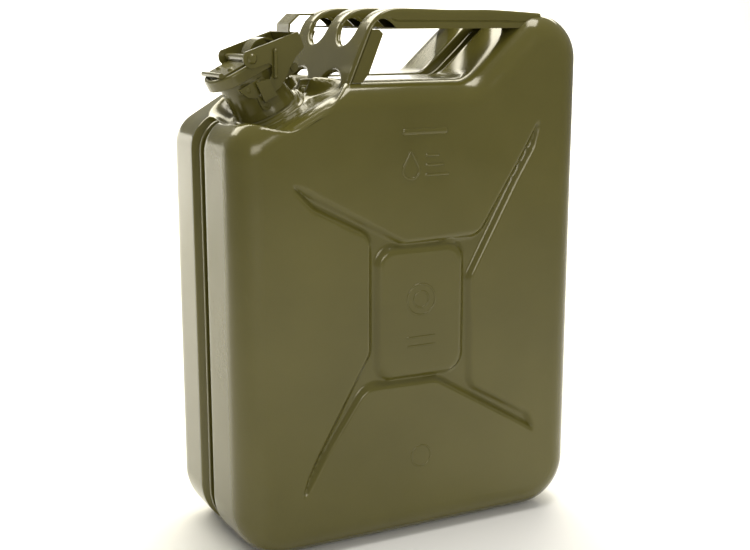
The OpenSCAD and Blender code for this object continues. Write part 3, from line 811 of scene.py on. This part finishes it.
def saddle():
    """Three-pronged saddle: a pressed sheet whose edges are turned back, bent over at its top."""
    loops = saddle_loops()
    count = len(loops[0][0])
    points, faces = [], []
    for k, (loop, depth) in enumerate(loops):
        points += [(v, u, depth) for v, u in loop]
        if k:
            faces += ring_faces((k - 1) * count, k * count, count)
    step = 2.4
    grid = [(v, u) for v in np.arange(-66, 66.1, step) for u in np.arange(2, JOIN_S, step)]
    for k, depth, flip in ((0, 0.0, False), (len(loops) - 1, SHEET, True)):
        rim = loops[k][0]
        inner = inside_distance(np.array(grid), rim) > step / 2
        flat_points = [Vector(p) for p in rim.tolist()] + [Vector(g) for g, keep in zip(grid, inner) if keep]
        made = delaunay_2d_cdt(flat_points, [], [list(range(count))], 1, 1e-5)
        spots = []
        for i, p in enumerate(made[0]):
            first = made[3][i][0] if made[3][i] else -1
            if 0 <= first < count:
                spots.append(k * count + first)
            else:
                spots.append(len(points))
                points.append((p.x, p.y, depth))
        faces += [[spots[i] for i in (face[::-1] if flip else face)] for face in made[2]]
    verts = []
    for v, u, depth in points:
        place, way = handle_line(u)
        p = place - way * depth
        verts.append((p[0], v, p[1]))
    add_piece("saddle_pressing", verts, faces, handle_paint, "can", ["handle_saddle"], sharp=50)


saddle()
bar("bar_near", "handle_bar_near", -BAR_PITCH, 6.0)
bar("bar_middle", "handle_bar_middle", 0.0, 11.0)
bar("bar_far", "handle_bar_far", BAR_PITCH, 6.0)


# ------------------------------------------------------------------------------------- carried-over CAD nodes


def dress(node, material, bevel=0.35):
    """A CAD node keeps its shape: its sharp edges get a small round, and it gets its material."""
    thing = frame["nodes"][node]
    thing.data.materials.clear()
    thing.data.materials.append(material)
    weld = thing.modifiers.new("weld", "WELD")
    weld.merge_threshold = 2e-5
    if bevel:
        edge = thing.modifiers.new("round", "BEVEL")
        edge.width = bevel * MM
        edge.segments = 2
        edge.limit_method = "ANGLE"
        edge.angle_limit = math.radians(32)
        edge.use_clamp_overlap = True
    even = thing.modifiers.new("normals", "WEIGHTED_NORMAL")
    even.keep_sharp = True


for name in ("lug_near", "lug_far", "lug_rivets", "hinge_bracket", "hinge_pin", "lid_arm", "arm_rivets",
             "lever_pin", "lever_yoke", "safety_wire"):
    dress(name, fitting_paint)
for name in ("saddle_gusset_near", "saddle_gusset_far"):
    dress(name, handle_paint)
for name in ("handle_liner_near", "handle_liner_middle", "handle_liner_far", "breather_tube", "breather_clip",
             "gasket_retainer"):
    dress(name, inner_paint, 0)
dress("lid_gasket", gasket_rubber, 0)


# ------------------------------------------------------------------------------------- floor, light, camera

FLOOR_FRONT = -2.6
FLOOR_BACK = 2.2
COVE_R = 0.8
FLOOR_HALF_W = 4.0


def stage():
    """Pale floor that curves up at its back."""
    side = [(FLOOR_FRONT, 0.0), (FLOOR_BACK, 0.0)]
    side += [(FLOOR_BACK + COVE_R * math.sin(a), COVE_R - COVE_R * math.cos(a))
             for a in np.linspace(0.1, math.pi / 2, 14)]
    verts = [(x, y, z) for y, z in side for x in (-FLOOR_HALF_W, FLOOR_HALF_W)]
    faces = [(2 * i, 2 * i + 1, 2 * i + 3, 2 * i + 2) for i in range(len(side) - 1)]
    mesh = bpy.data.meshes.new("backdrop")
    mesh.from_pydata(verts, [], faces)
    for face in mesh.polygons:
        face.use_smooth = True
    floor = bpy.data.objects.new("backdrop", mesh)
    bpy.context.scene.collection.objects.link(floor)
    material, nodes = new_material("backdrop_paper")[:2]
    shader = nodes["Principled BSDF"]
    shader.inputs["Base Color"].default_value = (0.86, 0.86, 0.85, 1.0)
    shader.inputs["Roughness"].default_value = 0.7
    mesh.materials.append(material)


def softbox(name, place, target, size, watts, colour=(1.0, 0.97, 0.9)):
    """A rectangular lamp that faces `target`, unseen by the camera."""
    lamp = bpy.data.lights.new(name, "AREA")
    lamp.shape = "RECTANGLE"
    lamp.size, lamp.size_y = size
    lamp.energy = watts
    lamp.color = colour
    thing = bpy.data.objects.new(name, lamp)
    thing.location = place
    thing.rotation_euler = (Vector(target) - Vector(place)).to_track_quat("-Z", "Y").to_euler()
    thing.visible_camera = False
    bpy.context.scene.collection.objects.link(thing)


def camera():
    """Camera at the height and turn of the reference view, a little over a metre away."""
    azimuth, elevation, distance = math.radians(-27.57), math.radians(12.38), 1.1827
    back = Vector((math.sin(azimuth) * math.cos(elevation), -math.cos(azimuth) * math.cos(elevation),
                   math.sin(elevation)))
    data = bpy.data.cameras.new("camera")
    data.sensor_width = 36.0
    data.lens = 60.25
    data.shift_x, data.shift_y = -0.0016, 0.0135
    thing = bpy.data.objects.new("camera", data)
    thing.location = Vector((0, 0, 0.22)) + back * distance
    thing.rotation_euler = (-back).to_track_quat("-Z", "Y").to_euler()
    bpy.context.scene.collection.objects.link(thing)
    bpy.context.scene.camera = thing


def world():
    """Even, faintly warm light from all round."""
    made = bpy.data.worlds.new("studio")
    made.use_nodes = True
    sky = made.node_tree.nodes["Background"]
    sky.inputs["Color"].default_value = (1.0, 0.985, 0.95, 1.0)
    sky.inputs["Strength"].default_value = 0.4
    bpy.context.scene.world = made


stage()
world()
softbox("overhead", (0.25, -0.15, 1.9), (0, 0, 0.2), (0.9, 0.7), 20)
softbox("floor_wash", (0.45, 1.35, 1.5), (0.45, 1.35, 0), (3.0, 1.3), 82, (1.0, 0.955, 0.79))
softbox("paper_wash", (0.5, 1.9, 1.2), (0.7, 3.0, 0.35), (4.4, 0.6), 75, (1.0, 0.97, 0.88))
softbox("back_right", (1.35, 2.4, 1.1), (0, 0, 0.45), (1.8, 0.9), 11, (1.0, 0.96, 0.82))
softbox("front_fill", (-0.5, -2.3, 1.1), (0, 0, 0.25), (1.3, 0.8), 17)
camera()
bpy.context.scene.view_settings.view_transform = "Standard"
